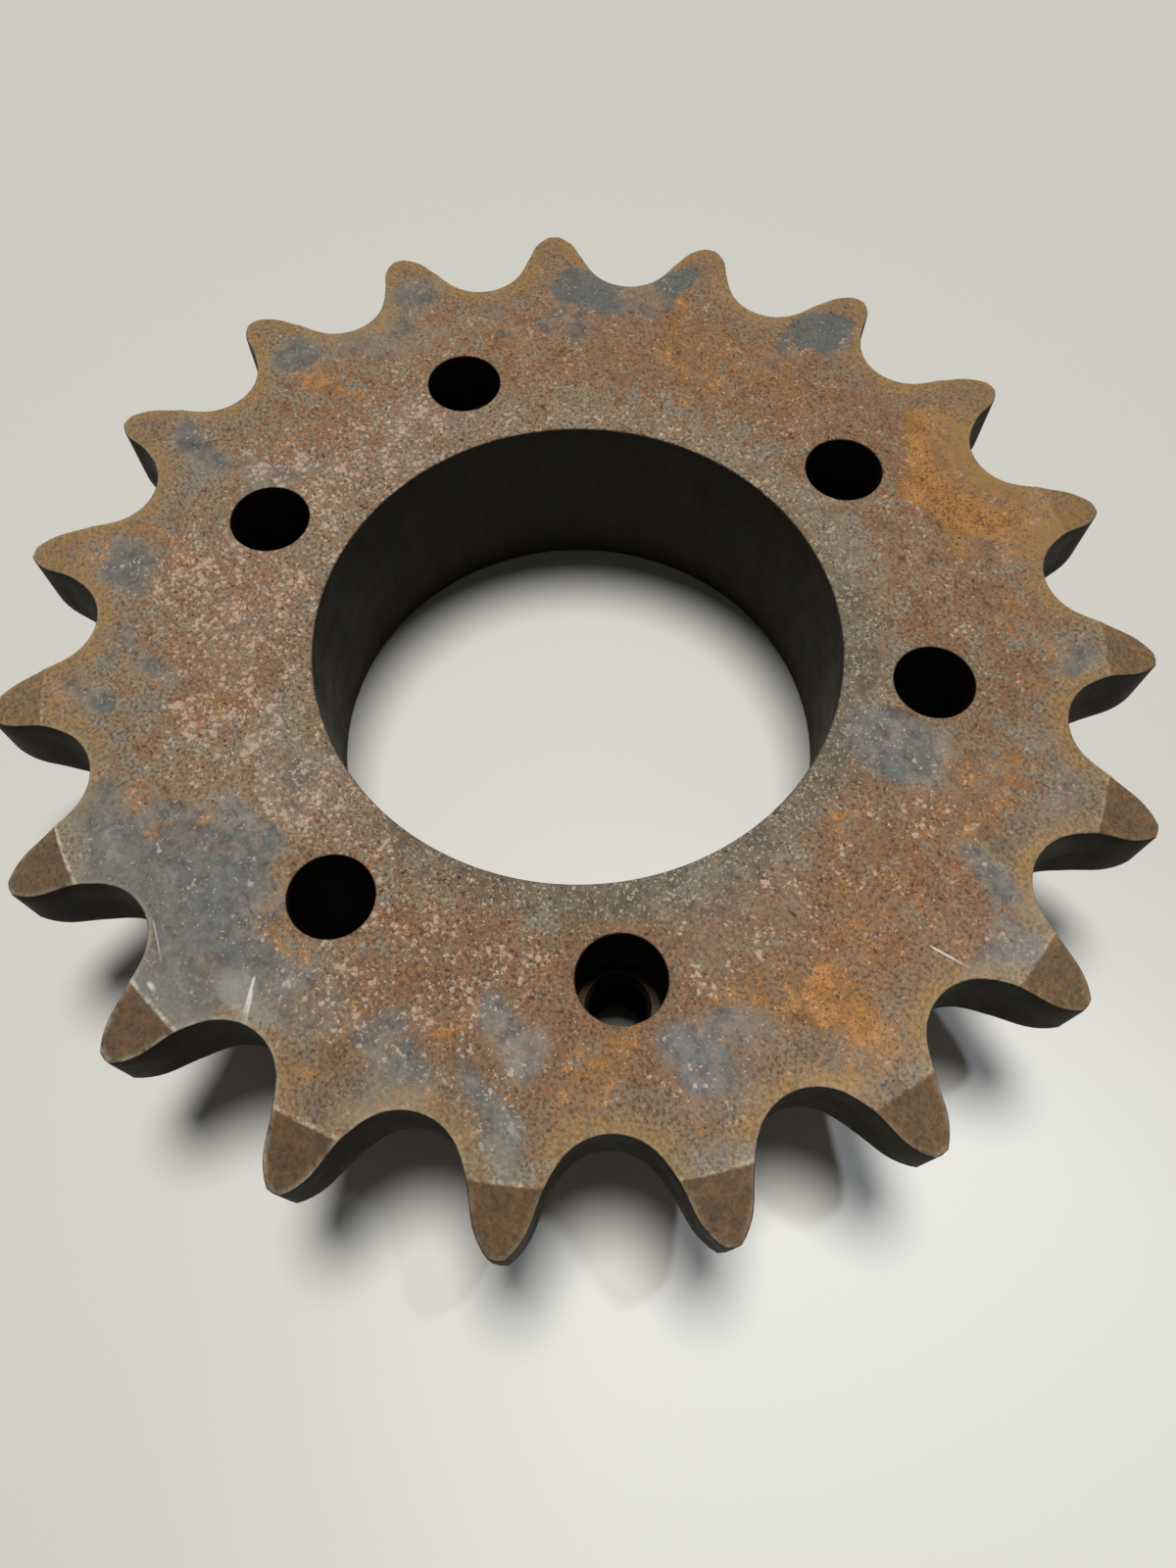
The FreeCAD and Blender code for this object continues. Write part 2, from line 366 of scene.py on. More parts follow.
blue_black_patches = [
    (-57, 69, 5, 8, -15, 1.15), (-31, 85, 5, 7, -10, 1.25), (-33, 77, 5, 5, 0, .8),
    (-68, 52, 9, 4, 25, 1.05), (54, 69, 3.5, 4, -10, .8), (-80, -34, 6, 4, -10, .5),
    (4, -78, 9, 10, 0, .55), (-66, 42, 6, 4, 0, .6), (52, 30, 6, 6, 0, .5), (73, -27, 4, 6, 0, .4),
    (-41, -77, 4, 3, 0, .7)]
pale_scabs = [
    (-56, -10, 14, 22, 0, .9), (-44, -44, 20, 14, 40, .9), (-22, -60, 14, 9, 0, .9),
    (2, -55, 14, 7, 0, .9), (26, -52, 12, 10, 20, .6), (48, -62, 12, 8, 0, .5),
    (60, -10, 5, 12, 10, .45), (64, 5, 7, 12, 0, .35), (-66, 12, 10, 10, 0, .4),
    (-52, 30, 14, 9, -40, .3), (-62, -24, 10, 8, 0, .9), (60, 26, 6, 6, 0, .5),
    (35, 60, 14, 10, 0, .15), (15, 66, 14, 10, 0, .2), (-20, 60, 14, 10, 0, .2),
    (30, -68, 12, 8, 0, .7), (44, -50, 8, 8, 0, .6)]
rubbed_haze = [
    (22, -80.5, 9, 3.2, 12, 1.0), (-13, -83, 6, 6, 0, .7), (13, -86, 5, 3.5, -60, .7),
    (6, -74, 9, 3, 15, .4), (64, -59, 6, 3, 0, .6), (-10, -86, 6, 4, 0, .5), (-14, -92, 5, 2.5, 0, .6),
    (52, -82, 5, 2.5, 30, .5), (31, -77, 5, 2.5, 50, .6)]
brown_red = [
    (-50, 5, 20, 20, 0, .4), (-40, -45, 18, 14, 40, .7), (-25, -60, 12, 8, 0, .9),
    (10, -55, 20, 8, 0, .5), (32, -50, 22, 12, 20, .7), (58, 6, 14, 22, 0, .5),
    (-20, 70, 26, 12, 0, .6), (24, 64, 26, 10, 0, .5), (-50, 50, 14, 14, 0, .5), (60, -38, 8, 8, 0, .5),
    (74, 12, 14, 16, 0, .85), (-62, -14, 12, 12, 0, .5), (40, 72, 10, 8, 0, .5)]


def stained(points, patches, wander=1.0):
    """Strength of a stain at each point: the largest of its soft-edged ellipses.

    An ellipse is full inside six tenths of its half sizes and gone at one and a half times
    them. Two pairs of slow sine waves push its outline about.
    """
    x, y = points.real, points.imag
    points = points + 2.4 * wander * (np.sin(x / 5.1 + 1.3 * np.sin(y / 7.3))
                                      + 1j * np.sin(y / 4.7 + 1.7 * np.sin(x / 6.1 + 2)))
    points = points + 1.5 * wander * (np.sin(x / 2.6 + y / 3.1) + 1j * np.sin(y / 2.3 - x / 2.9 + 1))
    strength = np.zeros(points.shape)
    for across, up, half_length, half_width, angle, amount in patches:
        from_middle = (points - (across + 1j * up)) * turn(-np.radians(angle))
        distance = np.hypot(from_middle.real / half_length, from_middle.imag / half_width)
        strength = np.maximum(strength, amount * (1 - smooth(0.6, 1.5, distance)))
    return strength


corners = np.empty(len(toothed_plate.data.vertices) * 3)
toothed_plate.data.vertices.foreach_get("co", corners)
corners = corners.reshape(-1, 3) * 1000
spots = corners[:, 0] + 1j * corners[:, 1]
from_axis = np.abs(spots)
upper = corners[:, 2] > (plate_bottom + plate_top) / 2
bearing = np.degrees(np.angle(spots)) % 360

# What changes from tooth to tooth, by bearing in degrees.
bearing_tables = {
    "crease": ([0, 14, 33, 52, 75, 230, 242, 251, 260, 270, 279, 290, 298, 308, 317, 336, 355],
               [.2, .25, .2, .2, 0, 0, .3, .4, .8, .8, 1, .9, .8, .5, .45, .6, .2]),
    "strip": ([0, 14, 24, 33, 45, 52, 62, 75, 240, 260, 270, 279, 298, 317, 336, 355, 360],
              [.6, .9, .4, .5, .3, .7, .3, 0, 0, .4, .5, .9, .5, .8, 1, .8, .6]),
    "warm": ([0, 30, 60, 110, 150, 180, 250, 280, 300, 340, 360],
             [.8, .6, .4, .5, .35, .2, .1, .15, .8, 1, .8]),
    "tan": ([0, 40, 60, 150, 175, 200, 230, 260, 300, 360],
            [.3, .45, .7, 1, .7, .4, .3, 0, .2, .3]),
    "bevel_brown": ([0, 14, 33, 52, 71, 90, 225, 242, 260, 279, 300, 340, 360],
                    [.85, .8, .8, .55, .25, .15, .1, .35, .8, .9, .95, .95, .85]),
    # rubbed: how strong the pale edge line is, partly rubbed wear and partly a painted highlight.
    "rubbed": ([0, 20, 150, 200, 235, 262, 278, 295, 303, 316, 330, 350],
               [.25, .15, .1, .2, .5, .4, .8, 1, .6, .25, .3, .35]),
    "banded": ([0, 60, 245, 255, 262, 282, 292, 302, 360],
               [.9, 1, 1, .6, .1, .15, .6, .9, .9])}
by_bearing = {name: np.interp(bearing, *table) for name, table in bearing_tables.items()}

# How strong each finish is at each point. The side towards the hub has an even film.
beside_bore = (1 - smooth(50, 59, from_axis)) * (1 - smooth(-10, 35, spots.real))
strengths = {
    "bloom": np.where(upper, stained(spots, orange_blooms), .35),
    "bare": np.where(upper, stained(spots, bare_patches), .2),
    "blued": stained(spots, blue_black_patches) * upper,
    "scab": np.maximum(stained(spots, pale_scabs), .6 * beside_bore) * upper,
    "brown": np.where(upper, stained(spots, brown_red), .6),
    "haze": stained(spots, rubbed_haze, 0.3) * upper,
    "bore_side": (1 - smooth(50, 60, from_axis)) * upper * (.45 + .55 * smooth(-20, 40, spots.real)),
    "crease": by_bearing["crease"] * upper,
    "strip": by_bearing["strip"] * upper,
    "tan": by_bearing["tan"] * upper * smooth(52, 62, from_axis),
    "warm": np.where(upper, by_bearing["warm"] * smooth(50, 62, from_axis), .8),
    "bevel_brown": np.where(upper, by_bearing["bevel_brown"], .6),
    "rubbed": by_bearing["rubbed"] * upper,
    "banded": by_bearing["banded"],
    "upper": upper}
for channel, strength in strengths.items():
    layer = toothed_plate.data.attributes.new(channel, "FLOAT", "POINT")
    layer.data.foreach_set("value", strength.astype(np.float32))


def linear(colour):
    """An sRGB hex colour as linear red, green and blue."""
    steps = np.array([int(colour[i:i + 2], 16) for i in (1, 3, 5)]) / 255
    return (*np.where(steps <= 0.04045, steps / 12.92, ((steps + 0.055) / 1.055) ** 2.4), 1)


def add_node(tree, kind, inputs=(), output=0, **settings):
    """Add a node and give back one of its outputs.

    Settings are its own options. Inputs maps a socket to a value, or to the output that is
    linked to it.
    """
    made = tree.nodes.new("ShaderNode" + kind)
    for setting, value in settings.items():
        setattr(made, setting, value)
    for socket, value in dict(inputs).items():
        if isinstance(value, bpy.types.NodeSocket):
            tree.links.new(value, made.inputs[socket])
        else:
            made.inputs[socket].default_value = value
    return made.outputs[output]


def masked(tree, colour, tone, *masks):
    """Lay a tone over a colour, as far as the product of the masks says."""
    cover = masks[0]
    for mask in masks[1:]:
        cover = add_node(tree, "Math", {0: cover, 1: mask}, operation="MULTIPLY")
    return add_node(tree, "Mix", {0: cover, 6: colour, 7: tone}, 2, data_type="RGBA")


def laid_over(tree, colour, tone, level, start, full, most=1.0, soft=True):
    """Lay a tone over a colour: none of it where the level is at start, most of it at full."""
    cover = add_node(tree, "MapRange",
                     {"Value": level, "From Min": start, "From Max": full, "To Max": most},
                     interpolation_type="SMOOTHSTEP" if soft else "LINEAR")
    return masked(tree, colour, tone, cover)


def new_finish(name):
    """A new material, its tree and shader, and its Object coordinates in millimetres."""
    finish = bpy.data.materials.new(name)
    finish.use_nodes = True
    place = add_node(finish.node_tree, "TexCoord", output="Object")
    millimetres = add_node(finish.node_tree, "Mapping", {"Vector": place, "Scale": (1000, 1000, 1000)})
    return finish, finish.node_tree, finish.node_tree.nodes["Principled BSDF"], millimetres


def radius_from_axis(tree, millimetres):
    """Distance from the axis: the length of the coordinates with their height left out."""
    flat = add_node(tree, "VectorMath", {0: millimetres, 1: (1, 1, 0)}, operation="MULTIPLY")
    return add_node(tree, "VectorMath", {0: flat}, "Value", operation="LENGTH")


def join(tree, shader, outputs):
    """Link outputs to the shader's sockets, by name."""
    for socket, output in outputs.items():
        tree.links.new(output, shader.inputs[socket])


# Flame-hardened carbon steel with a rust patina: a thin brown film over grey steel, orange
# blooms, pale scabs. It gives the eye mottled, dull colour, a little shinier where it is bare.
rusted_steel, tree, surface, millimetres = new_finish("rusted_flame_hardened_steel")
values = {name: add_node(tree, "Attribute", output="Fac", attribute_name=name)
          for name in ("cut", "from_edge", *strengths)}
radius = radius_from_axis(tree, millimetres)

# Noise by the size of its blotches in millimetres: (name, size, detail, roughness, distortion).
blotches = {name: add_node(tree, "TexNoise", {"Vector": millimetres, "Scale": 1 / size,
                                              "Detail": detail, "Roughness": rough,
                                              "Distortion": distortion}, "Fac")
            for name, size, detail, rough, distortion in (
                ("cloud", 19.0, 6, .60, .8), ("patch", 7.0, 9, .68, .5), ("clump", 4.2, 4, .55, .3),
                ("mottle", 2.4, 8, .72, .3), ("speck", 1.2, 4, .6, 0), ("grit", .70, 3, .7, 0),
                ("other", 3.4, 8, .70, .5))}
# Crumbs and crumbles are ragged spots, 1.25 and 0.8 mm apart: one less the distance from the
# nearest middle.
wobble = add_node(tree, "TexNoise", {"Vector": millimetres, "Scale": 1 / .7, "Detail": 3,
                                     "Roughness": .7}, "Color")
wobble = add_node(tree, "VectorMath", {0: wobble, 1: (1.9, 1.9, 1.9), 2: millimetres},
                  operation="MULTIPLY_ADD")
for name, apart in (("crumb", 1.25), ("crumble", .80)):
    distance = add_node(tree, "TexVoronoi", {"Vector": wobble, "Scale": 1 / apart}, "Distance")
    blotches[name] = add_node(tree, "Math", {0: 1.0, 1: distance}, operation="SUBTRACT")

# The film on the steel, from thin and grey to thick and brown.
colour = laid_over(tree, linear("#736a5c"), linear("#846e55"), blotches["patch"], .38, .62)

# Each layer: what it is, two tones, the noise that breaks its edge, the noise that clumps it
# and how much, the value that drives it and how strongly, where it starts and is full, how
# much it hides, and the noise between its tones.
layers = [
    ("brown film", "#775a3b", "#5d4733", "patch", "mottle", .5, "warm", .30, .74, 1.04, .85, "other"),
    ("tan film", "#8c6740", "#6f5034", "mottle", "cloud", .4, "tan", .30, .78, 1.06, .85, "other"),
    ("red-brown rust", "#876447", "#6e4f3a", "mottle", "cloud", .3,
     "brown", .14, .62, .84, .85, "speck"),
    ("orange film", "#946833", "#77532f", "other", "cloud", .3, "bloom", .30, .78, 1.05, .88, "speck"),
    ("bright orange", "#c08a4a", "#a5733c", "other", "clump", .4, "bloom", .22, .92, 1.12, .4, "grit"),
    ("orange grains", "#bf8a48", "#9c6431", "speck", "clump", .5, "bloom", .22, .91, 1.07, .88, "grit"),
    ("grey steel", "#585a57", "#3c4041", "patch", "mottle", .4, "bare", .32, .86, 1.08, .92, "mottle"),
    ("blue-black patch", "#51534f", "#434847", "other", "mottle", .4,
     "blued", .50, .90, 1.14, .85, "mottle"),
    ("rubbed haze", "#97958e", "#7d7b74", "patch", "mottle", .4, "haze", .40, .96, 1.14, .8, "grit"),
    ("grey film", "#6b675c", "#555041", "mottle", "patch", .4, "bore_side", .26, .84, 1.04, .8, "grit"),
    ("pale film", "#98877a", "#7d6f60", "mottle", "clump", .4, "scab", .22, .86, 1.06, .7, "grit"),
    ("rust red spots", "#985634", "#77422d", "mottle", "clump", .5,
     "brown", .16, .95, 1.04, .7, "grit"),
    ("dark grain", "#43382d", "#352c24", "grit", "patch", .5, "bore_side", .11, .86, .96, .8, "speck"),
    ("pale bore grain", "#b3aa9c", "#8f8678", "crumble", "speck", 1.0,
     "bore_side", .16, 1.30, 1.42, .8, "grit"),
    ("dark bloom grain", "#5f4026", "#4a3422", "grit", "mottle", .4,
     "bloom", .09, .81, .92, .85, "speck"),
    ("dark pit", "#3a3027", "#2f2720", "speck", "mottle", .4, "brown", .04, .86, .94, .85, "grit"),
    ("pale scab", "#c0aea1", "#98806f", "crumb", "clump", 1.3, "scab", .26, 1.52, 1.60, .85, "grit"),
    ("small scab", "#c9b3a2", "#a08573", "crumble", "other", 1.1,
     "scab", .24, 1.49, 1.57, .85, "speck"),
    ("rust crumb", "#a35f38", "#c48f45", "crumble", "mottle", 1.2,
     "scab", .14, 1.51, 1.58, .8, "clump"),
    ("light fleck", "#d4c8ba", "#bcab9a", "crumb", "speck", .9, "scab", .10, 1.51, 1.57, .9, "speck"),
]
for (what, tone, other_tone, edge, clump, clumping,
     driver, gain, start, full, most, between) in layers:
    level = add_node(tree, "Math", {0: values[driver], 1: gain, 2: blotches[edge]},
                     operation="MULTIPLY_ADD", label=what)
    level = add_node(tree, "Math", {0: blotches[clump], 1: clumping, 2: level},
                     operation="MULTIPLY_ADD")
    tones = laid_over(tree, linear(tone), linear(other_tone), blotches[between], .40, .60, soft=False)
    colour = laid_over(tree, colour, tones, level, start, full, most)

# The hardened band along the teeth: an olive tan strip, with blue-grey heat tint just inside
# it. It draws back where the steel is blue-black.
inward = add_node(tree, "Math", {0: blotches["patch"], 1: 9.0, 2: values["from_edge"]},
                  operation="MULTIPLY_ADD")
inward = add_node(tree, "Math", {0: values["blued"], 1: 5.0, 2: inward}, operation="MULTIPLY_ADD")
colour = laid_over(tree, colour, linear("#6b685f"), inward, 14.5, 10.5, .22)
band = add_node(tree, "MapRange", {"Value": inward, "From Min": 9.6, "From Max": 5.6, "To Max": .7},
                interpolation_type="SMOOTHSTEP")
band = add_node(tree, "Math", {0: band, 1: values["banded"]}, operation="MULTIPLY")
tones = laid_over(tree, linear("#7d6640"), linear("#987642"), blotches["mottle"], .40, .62, soft=False)
colour = masked(tree, colour, tones, band)

# The turned bevel is plain satin brown; its crease is worn pale, with a grey strip inboard of
# it. A strip rises and falls at four distances inside the bevel's circle.
on_bevel = add_node(tree, "MapRange", {"Value": radius, "From Min": bevel_start + .05,
                                       "From Max": bevel_start + .45})
on_bevel = add_node(tree, "Math", {0: on_bevel, 1: values["bevel_brown"]}, operation="MULTIPLY")
tones = laid_over(tree, linear("#4a3a2a"), linear("#684d31"), blotches["mottle"], .38, .64, soft=False)
colour = masked(tree, colour, tones, on_bevel)
for inner, mid_in, mid_out, outer, tone, most, driver in (
        (4.5, 2.6, .5, 0, "#77746a", .75, "strip"), (.55, .1, -.12, -.4, "#b9b1a1", .95, "crease")):
    rise = add_node(tree, "MapRange", {"Value": radius, "From Min": bevel_start - inner,
                                       "From Max": bevel_start - mid_in})
    fall = add_node(tree, "MapRange", {"Value": radius, "From Min": bevel_start - outer,
                                       "From Max": bevel_start - mid_out})
    broken = add_node(tree, "MapRange", {"Value": blotches["mottle"], "From Min": .42,
                                         "From Max": .58, "To Max": most})
    colour = masked(tree, colour, linear(tone), rise, fall, broken, values[driver])

# Salt-and-pepper grain, strongest near the bore and faint on bare steel, the bevel and the
# band. It is drawn coarser than it is so that it shows.
near_bore = add_node(tree, "MapRange", {"Value": radius, "From Min": 60, "From Max": 49,
                                        "To Min": .78, "To Max": 1.0})
grain = add_node(tree, "MapRange", {"Value": blotches["grit"], "From Min": .32, "From Max": .68,
                                    "To Min": .14, "To Max": 2.06})
plain = add_node(tree, "Math", {0: values["bare"], 1: on_bevel}, operation="MAXIMUM")
plain = add_node(tree, "Math", {0: plain, 1: band}, operation="MAXIMUM")
faint = add_node(tree, "MapRange", {"Value": plain, "From Min": .2, "From Max": 1.1,
                                    "To Min": 1.0, "To Max": .35})
share = add_node(tree, "Math", {0: near_bore, 1: faint}, operation="MULTIPLY")
grain = add_node(tree, "CombineColor", {"Red": grain, "Green": grain, "Blue": grain})
colour = add_node(tree, "Mix", {0: share, 6: colour, 7: grain}, 2, data_type="RGBA",
                  blend_type="MULTIPLY")

# Scratches down to bright steel: where each begins, its turn in degrees, its length and half
# width in millimetres, and how bright it is.
for x, y, angle, length, width, most in (
        (20.6, -77.6, -45, 7.4, .32, .9), (22.4, -79.0, -42, 6.0, .26, .8),
        (79.5, 10.8, 22, 7.2, .22, .9), (3.0, -86.2, -17, 8.0, .14, .5),
        (11.5, -91.6, 5, 2.4, .50, .8)):
    away = add_node(tree, "VectorMath", {0: millimetres, 1: (x, y, 0)}, operation="SUBTRACT")
    away = add_node(tree, "VectorRotate", {"Vector": away, "Angle": -np.radians(angle)},
                    rotation_type="Z_AXIS")
    ahead = add_node(tree, "SeparateXYZ", {0: away}, "X")
    aside = add_node(tree, "Math", {0: ahead.node.outputs["Y"]}, operation="ABSOLUTE")
    thin = add_node(tree, "MapRange", {"Value": aside, "From Min": width, "From Max": width * .3,
                                       "To Max": most})
    begun = add_node(tree, "MapRange", {"Value": ahead, "From Min": 0, "From Max": .8})
    ended = add_node(tree, "MapRange", {"Value": ahead, "From Min": length, "From Max": length * .5})
    colour = masked(tree, colour, linear("#cfccc4"), thin, begun, ended, values["upper"])

# The rounded edge of a cut turns dark brown. The pale line along it, on the teeth between about 235 and
# 330 degrees of bearing, is partly rubbed wear and partly a painted highlight where the edge catches
# the light.
line = add_node(tree, "MapRange", {"Value": values["from_edge"], "From Min": 1.1, "From Max": .25})
broken = add_node(tree, "MapRange", {"Value": blotches["mottle"], "From Min": .40, "From Max": .60,
                                     "To Max": .9})
# Pale edge line: rubbed wear together with a painted highlight.
colour = masked(tree, colour, linear("#a39b8b"), line, values["rubbed"], broken)
colour = masked(tree, colour, linear("#3a2e23"), values["cut"])

# Rust is dull; bare steel and the edges are smoother.
smoother = add_node(tree, "Math", {0: values["cut"], 1: values["bare"]}, operation="MAXIMUM")
dullness = add_node(tree, "MapRange", {"Value": smoother, "To Min": .82, "To Max": .50})
uneven = add_node(tree, "Math", {0: blotches["mottle"], 1: .35, 2: -.10}, operation="MULTIPLY_ADD")
height = add_node(tree, "Math", {0: blotches["mottle"], 1: .6, 2: blotches["speck"]},
                  operation="MULTIPLY_ADD")
height = add_node(tree, "Math", {0: blotches["grit"], 1: .35, 2: height}, operation="MULTIPLY_ADD")
relief = add_node(tree, "MapRange", {"Value": smoother, "To Min": 1.0, "To Max": .25})
height = add_node(tree, "Math", {0: height, 1: relief}, operation="MULTIPLY")
join(tree, surface, {
    "Base Color": colour,
    "Roughness": add_node(tree, "Math", {0: dullness, 1: uneven}, operation="ADD", use_clamp=True),
    "Normal": add_node(tree, "Bump", {"Height": height, "Strength": .55, "Distance": .0004})})


def finish_by_value(piece, channel, below, above):
    """Give a piece two finishes: above on the faces whose mean surface value is over a half."""
    mesh = piece.data
    value, vertex = np.empty(len(mesh.vertices), np.float32), np.empty(len(mesh.loops), np.int32)
    start = np.empty(len(mesh.polygons), np.int32)
    mesh.attributes[channel].data.foreach_get("value", value)
    mesh.loops.foreach_get("vertex_index", vertex)
    mesh.polygons.foreach_get("loop_start", start)
    sides = np.diff(np.append(start, len(vertex)))
    mean = np.add.reduceat(value[vertex], start) / sides
    for finish in (below, above):
        mesh.materials.append(finish)
    mesh.polygons.foreach_set("material_index", (mean > 0.5).astype(np.int32))


# Hobbed, drilled and bored steel under a thin, dark mill oxide: smooth, nearly black brown,
# with faint upright stains and a low sheen. The teeth's walls and the bore part at a circle between
# them: the teeth's walls are made darker as painted shade, the bore lighter as painted light.
dark_oxide, tree, surface, millimetres = new_finish("dark_oxide_on_cut_steel")
parting_circle = 52
# Upright streaks: the noise is stretched along Z.
upright = add_node(tree, "VectorMath", {0: millimetres, 1: (1, 1, .16)}, operation="MULTIPLY")
streak = add_node(tree, "TexNoise", {"Vector": upright, "Scale": 1 / 3.5, "Detail": 6,
                                     "Roughness": .6}, "Fac")
stain = add_node(tree, "TexNoise", {"Vector": millimetres, "Scale": 1 / 7, "Detail": 6,
                                    "Roughness": .65}, "Fac")
grit = add_node(tree, "TexNoise", {"Vector": millimetres, "Scale": 1 / .6, "Detail": 3,
                                   "Roughness": .7}, "Fac")
# One oxide in two tones: darker on the teeth's walls, a painted shade, and lighter in the bore, painted
# light.
teeth_oxide_and_shade, bore_oxide_and_light = (laid_over(tree, linear(dark), linear(light), streak, .38, .64, soft=False)
                         for dark, light in (("#1f1b15", "#2b231a"), ("#38352e", "#403b31")))
outside = add_node(tree, "Math", {0: radius_from_axis(tree, millimetres), 1: parting_circle},
                   operation="GREATER_THAN")
colour = masked(tree, bore_oxide_and_light, teeth_oxide_and_shade, outside)
colour = laid_over(tree, colour, linear("#3e2d1e"), stain, .54, .74, soft=False)
colour = laid_over(tree, colour, linear("#6b4a2b"), grit, .66, .76, .7, soft=False)
height = add_node(tree, "Math", {0: streak, 1: .6, 2: grit}, operation="MULTIPLY_ADD")
surface.inputs["Specular IOR Level"].default_value = 0.04
join(tree, surface, {
    "Base Color": colour,
    "Roughness": add_node(tree, "MapRange", {"Value": stain, "From Min": .35, "From Max": .65,
                                             "To Min": .48, "To Max": .66}),
    "Normal": add_node(tree, "Bump", {"Height": height, "Strength": .3, "Distance": .0002})})
finish_by_value(toothed_plate, "cut", rusted_steel, dark_oxide)


# ------------------------------------------------------------------ Hub
# A steel ring turned on a lathe, with the wide end of the taper bore. Three plain holes
# let the bushing's cap screws through, and three stepped holes are tapped to jack it out.

hub_radius = 152.4 / 2
hub_chamfer = 1.6
weld_groove = 4.8
ledge_height = plate_bottom - 2.4
tapped_radius = 10.7 / 2
thread_depth = 1.0
thread_pitch = 25.4 / 13
countersink = 1.3                  # how far a tapped hole's lower end is opened out
hub_hole_window = 7.85
hub_columns = 480
hub_rays = np.arange(hub_columns) * 2 * np.pi / hub_columns


def turned_sheet(radii, heights, rays):
    """A profile of radii and heights swept round the axis."""
    return raised(np.asarray(radii)[:, None] * turn(rays), np.asarray(heights)[:, None])


def tapped_hole(rim_above, rim_below, centre):
    """Stepped and tapped hole from the top of the hub down, as one sheet.

    The radius of the thread at a height is the minor radius plus a flat-bottomed V groove
    of the phase height / pitch - angle / full turn, so the groove climbs one pitch each
    turn. A countersink opens the lower end.
    """
    angle = np.angle(rim_above - centre)
    heights = np.linspace(ledge_height, 0, 112)[:, None]
    phase = (heights / thread_pitch - angle / (2 * np.pi)) % 1
    groove = np.clip((1 - np.abs(2 * phase - 1) - 0.14) / 0.72, 0, 1)
    thread = np.maximum(tapped_radius + thread_depth * groove, tapped_radius + countersink - heights)
    ledge_radius = (counterbore_radius + tapped_radius + thread_depth) / 2
    above = np.array([counterbore_radius] * 4 + [ledge_radius])
    radii = np.concatenate([np.repeat(above[:, None], len(angle), 1), thread])
    wide_heights = np.append(np.linspace(plate_bottom, ledge_height, 4), ledge_height)[:, None]
    ring = centre + radii * turn(angle)
    ring[0], ring[-1] = rim_above, rim_below
    return raised(ring, np.concatenate([wide_heights, heights]))


# Both ends of the hub share the circles of their grids between the bore's edge and the weld.
first_circle = 50.6
shared_circles = np.linspace(53.4, hub_radius - weld_groove, 14)
hub_sheets, rims = [], {}
top_circles = np.concatenate([[bore_radius(plate_bottom), first_circle], shared_circles])
end_circles = np.concatenate([[bore_radius(0) + bore_edge, first_circle], shared_circles,
                              [73.0, hub_radius - hub_chamfer - .2]])
for side, z, circles, edge, tapped in (
        ("top", plate_bottom, top_circles, 0, counterbore_radius),
        ("end", 0, end_circles, hole_edge, tapped_radius + countersink)):
    holes = ([(screw_circle * turn(angle), tapped) for angle in tapped_angles]
             + [(screw_circle * turn(angle), clearance_radius + edge) for angle in clearance_angles])
    sheets, rims[side] = holed_ring(circles, hub_rays, z, holes, hub_hole_window)
    hub_sheets += [with_values(sheet) for sheet in sheets]
chamfer_end = hub_radius - hub_chamfer
side_radii = [chamfer_end - .2, chamfer_end - .05, chamfer_end + .1, hub_radius - .1, hub_radius - .03,
              *[hub_radius] * 8, hub_radius - weld_groove]
side_heights = [0, .03, .12, hub_chamfer - .12, hub_chamfer,
                *np.linspace(hub_chamfer + .15, plate_bottom - weld_groove, 8), plate_bottom]
hub_sheets.append(with_values((turned_sheet(side_radii, side_heights, hub_rays), True, [])))
bore_heights = np.append(np.linspace(plate_bottom, bore_edge, 9), bore_edge * (1 - np.sin(eased[1:])))
bore_radii = np.append(bore_radius(bore_heights[:9]),
                       bore_radius(bore_edge) + bore_edge * (1 - np.cos(eased[1:])))
bore_radii[-1] = bore_radius(0) + bore_edge
hub_sheets.append(with_values((turned_sheet(bore_radii, bore_heights, hub_rays), True, []),
                              cut=np.append(np.ones(9), 1 - eased[1:] / eased[-1])))
for number, angle in enumerate(tapped_angles):
    sheet = tapped_hole(rims["top"][number], rims["end"][number], screw_circle * turn(angle))
    # The ledge, rows 3 to 5, has the browned finish of the hub's faces.
    cut_rows = np.ones(len(sheet))
    cut_rows[3:6], cut_rows[-1] = (.3, 0, .3), 0
    hub_sheets.append(with_values((sheet, True, []), cut=cut_rows))
for number, angle in enumerate(clearance_angles, len(tapped_angles)):
    heights = np.append(np.linspace(plate_bottom, hole_edge, 8), hole_edge * (1 - np.sin(eased[1:])))
    radii = np.append(np.full(8, clearance_radius),
                      clearance_radius + hole_edge * (1 - np.cos(eased[1:])))
    sheet = hole_wall(rims["top"][number], screw_circle * turn(angle), radii, heights)
    sheet[-1, :, 0], sheet[-1, :, 1] = rims["end"][number].real, rims["end"][number].imag
    hub_sheets.append(with_values((sheet, True, []), cut=np.append(np.ones(len(sheet) - 1), 0)))
hub = closed_piece("turned_hub", hub_sheets, ["cut"], 35)

# Lathe-turned carbon steel gone brown: fine rings from the tool, which catch the light as
# thin lines, under a thin patchy film of rust.
turned_steel, tree, surface, millimetres = new_finish("browned_lathe_turned_steel")
large, medium, fine = (add_node(tree, "TexNoise", {"Vector": millimetres, "Scale": 1 / size,
                                                   "Detail": 7, "Roughness": .66}, "Fac")
                       for size in (12.0, 3.0, .8))
colour = laid_over(tree, linear("#5c574e"), linear("#64503c"), large, .40, .60, soft=False)
for level, start, full, tone in (
        (medium, .50, .62, "#7a583b"), (large, .58, .68, "#57575a"), (fine, .60, .68, "#3f342b"),
        (medium, .64, .72, "#96693b"), (fine, .70, .76, "#9a8472")):
    colour = laid_over(tree, colour, linear(tone), level, start, full, .85)
